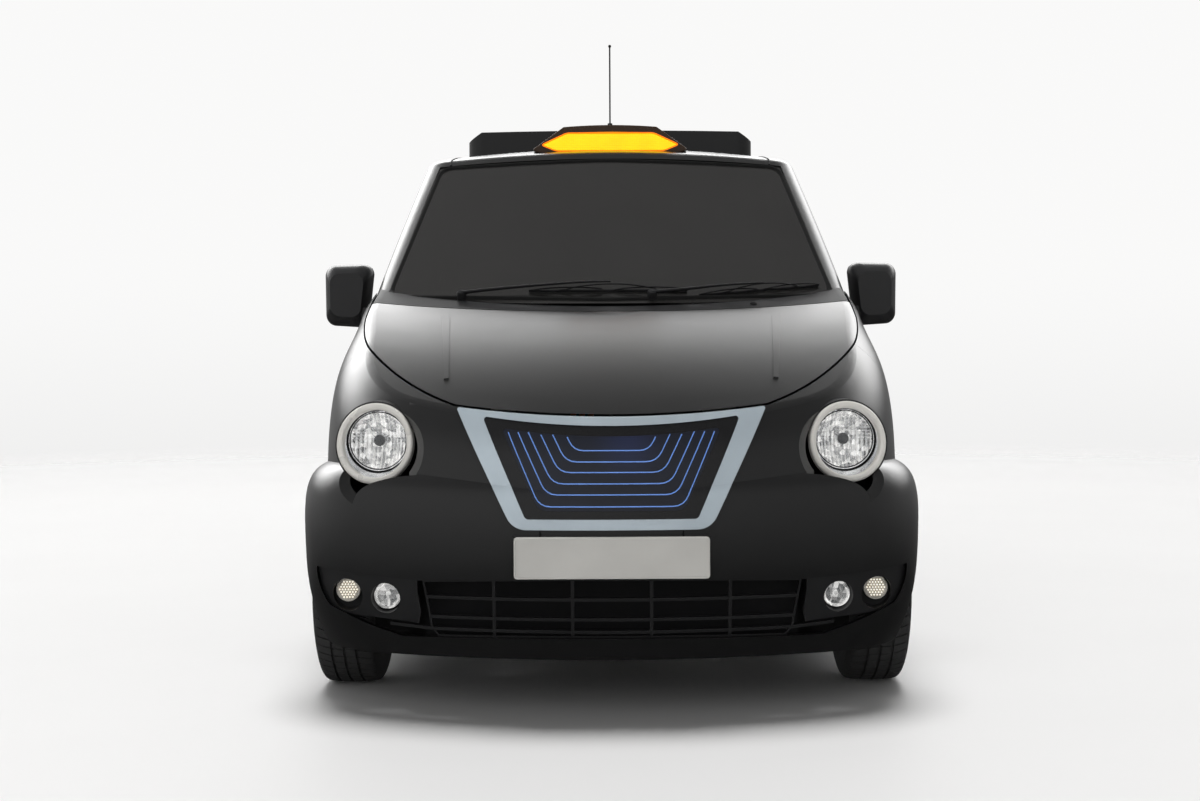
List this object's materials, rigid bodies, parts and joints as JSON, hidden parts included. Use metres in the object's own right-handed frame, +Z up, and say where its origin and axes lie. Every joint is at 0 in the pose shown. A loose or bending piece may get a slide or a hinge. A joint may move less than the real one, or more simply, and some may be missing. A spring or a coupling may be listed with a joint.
{
  "type": "taxi cab",
  "caption": "Tall one-box taxi van with a round-lamp nose, framed grille, lit roof sign, hinged front doors, bonnet and tailgate, steered front wheels.",
  "frame": {"origin": "on the ground under the centre of the body's box", "axes": "+Z up, nose towards -Y, +X to the vehicle's left"},
  "size_m": [1.9836, 4.3998, 2.2179],
  "materials": {
    "body_paint": "satin",
    "grille_trim": "satin metallic",
    "black_trim": "fine grain",
    "gloss_black": "polished",
    "bezel": "satin silver",
    "reflector": "polished",
    "clear_lens": "clear",
    "tinted_glass": "tinted",
    "red_lens": "moulded",
    "sign_lens": "lit, finely ribbed",
    "plate_white": "reflective",
    "plate_yellow": "reflective",
    "tyre": "moulded tread",
    "alloy": "painted silver",
    "steel": "plain",
    "casting": "as cast",
    "cabin_plastic": "grained",
    "seat_cloth": "woven",
    "hard_cover": "plain"
  },
  "bodies": {
    "root": {"front_fascia": "body_paint", "front_wings": "body_paint", "cowl_panel": "black_trim", "grille_frame": "grille_trim", "grille_bezel": "gloss_black", "grille_panel": "gloss_black", "bumper_pods": "black_trim", "radiator": "casting", "lower_grille": "black_trim", "headlamp_rims": "bezel", "headlamp_lenses": "clear_lens", "headlamp_reflectors": "reflector", "bumper_lamps": "clear_lens", "front_plate": "plate_white", "body_side_left": "body_paint", "body_side_right": "body_paint", "roof_panel": "body_paint", "glass_roof": "gloss_black", "rear_bumper": "body_paint", "tail_lamps": "red_lens", "sliding_doors": "body_paint", "side_glass": "tinted_glass", "windscreen": "tinted_glass", "roof_sign": "gloss_black", "roof_sign_lens": "sign_lens", "antenna": "black_trim", "wipers": "black_trim", "front_struts": "steel", "wheelhouses": "hard_cover", "floor_pan": "steel", "front_subframe": "casting", "rear_suspension": "steel", "motor": "casting", "battery_pack": "hard_cover", "dashboard": "cabin_plastic", "driver_seat": "seat_cloth", "rear_seats": "seat_cloth", "partition": "clear_lens"},
    "bonnet": {"bonnet": "body_paint"},
    "front_door_left": {"front_door_left": "body_paint", "front_door_glass_left": "tinted_glass", "door_mirror_left": "black_trim"},
    "front_door_right": {"front_door_right": "body_paint", "front_door_glass_right": "tinted_glass", "door_mirror_right": "black_trim"},
    "tailgate": {"tailgate": "body_paint", "tailgate_glass": "tinted_glass", "rear_plate": "plate_yellow"},
    "steering_wheel": {"steering_wheel": "cabin_plastic"},
    "knuckle_left": {"knuckle_left": "casting"},
    "knuckle_right": {"knuckle_right": "casting"},
    "wheel_front_left": {"tyre_front_left": "tyre", "rim_front_left": "alloy"},
    "wheel_front_right": {"tyre_front_right": "tyre", "rim_front_right": "alloy"},
    "wheel_rear_left": {"tyre_rear_left": "tyre", "rim_rear_left": "alloy"},
    "wheel_rear_right": {"tyre_rear_right": "tyre", "rim_rear_right": "alloy"}
  },
  "joints": [
    {"name": "bonnet_hinge", "type": "hinge", "parent": "root", "child": "bonnet", "pos_m": [0, -1.21, 1.182], "axis": [-1, 0, 0], "range_deg": [0, 50]},
    {"name": "front_door_left_hinge", "type": "hinge", "parent": "root", "child": "front_door_left", "pos_m": [0.851, -1.05, 0.8], "axis": [0, 0, -1], "range_deg": [0, 65]},
    {"name": "front_door_right_hinge", "type": "hinge", "parent": "root", "child": "front_door_right", "pos_m": [-0.851, -1.05, 0.8], "axis": [0, 0, 1], "range_deg": [0, 65]},
    {"name": "tailgate_hinge", "type": "hinge", "parent": "root", "child": "tailgate", "pos_m": [0, 1.989, 1.816], "axis": [1, 0, 0], "range_deg": [0, 80]},
    {"name": "steer_left", "type": "hinge", "parent": "root", "child": "knuckle_left", "pos_m": [0.71, -1.455, 0.311], "axis": [-0.1792, 0, 0.9838], "range_deg": [-45, 45]},
    {"name": "steer_right", "type": "hinge", "parent": "root", "child": "knuckle_right", "pos_m": [-0.71, -1.455, 0.311], "axis": [0.1792, 0, 0.9838], "range_deg": [-45, 45]},
    {"name": "steering_wheel_turn", "type": "hinge", "parent": "root", "child": "steering_wheel", "pos_m": [-0.37, -0.64, 1.015], "axis": [0, 0.8944, 0.4472], "range_deg": [-540, 540]},
    {"name": "wheel_front_left_spin", "type": "hinge", "parent": "knuckle_left", "child": "wheel_front_left", "pos_m": [0.79, -1.455, 0.311], "axis": [1, 0, 0], "continuous": true},
    {"name": "wheel_front_right_spin", "type": "hinge", "parent": "knuckle_right", "child": "wheel_front_right", "pos_m": [-0.79, -1.455, 0.311], "axis": [1, 0, 0], "continuous": true},
    {"name": "wheel_rear_left_spin", "type": "hinge", "parent": "root", "child": "wheel_rear_left", "pos_m": [0.74, 1.27, 0.311], "axis": [1, 0, 0], "continuous": true},
    {"name": "wheel_rear_right_spin", "type": "hinge", "parent": "root", "child": "wheel_rear_right", "pos_m": [-0.74, 1.27, 0.311], "axis": [1, 0, 0], "continuous": true}
  ],
  "couplings": [
    {"joint": "steer_right", "follows": "steer_left", "ratio": 1},
    {"joint": "steering_wheel_turn", "follows": "steer_left", "ratio": 12}
  ]
}
